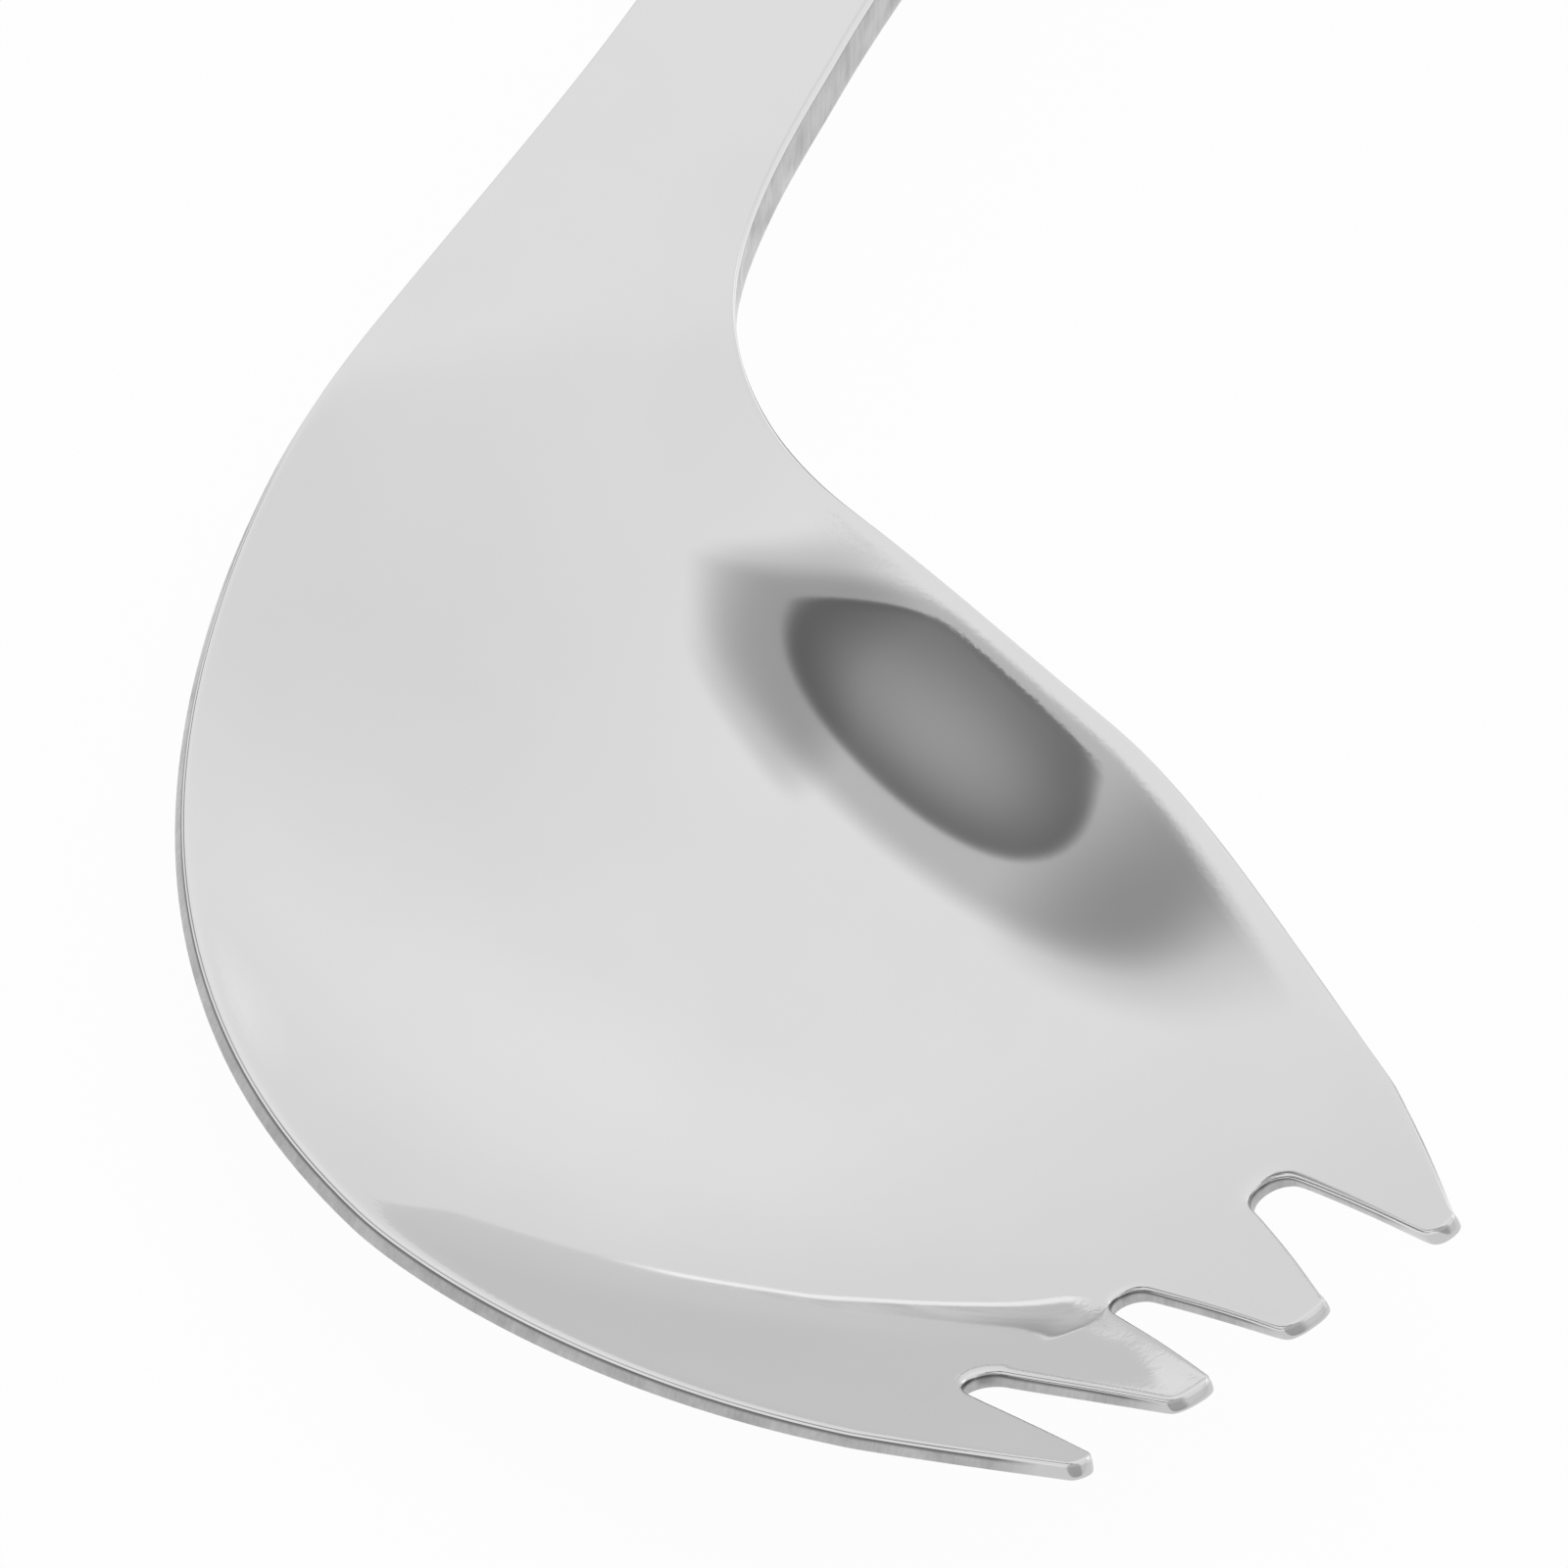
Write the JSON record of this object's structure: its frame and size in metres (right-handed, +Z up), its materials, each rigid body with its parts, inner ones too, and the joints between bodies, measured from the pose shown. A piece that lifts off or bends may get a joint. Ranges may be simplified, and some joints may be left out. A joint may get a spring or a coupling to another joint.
{
  "type": "spork",
  "caption": "Polished steel spork: a shallow bowl that ends in short blunt tines, turned to the left at the end of a flat handle with a thick, narrow neck.",
  "frame": {"origin": "the lowest point of the bowl's underside, in the middle of the flat that it rests on", "axes": "+X runs along the handle towards the head, +Y is the side that the head turns to, +Z is up out of the bowl's open side"},
  "size_m": [0.1758, 0.0681, 0.0153],
  "materials": {
    "polished_steel": "mirror polished"
  },
  "bodies": {
    "root": {"handle": "polished_steel", "neck": "polished_steel", "bowl": "polished_steel", "tine_1": "polished_steel", "tine_2": "polished_steel", "tine_3": "polished_steel", "tine_4": "polished_steel"}
  },
  "joints": []
}
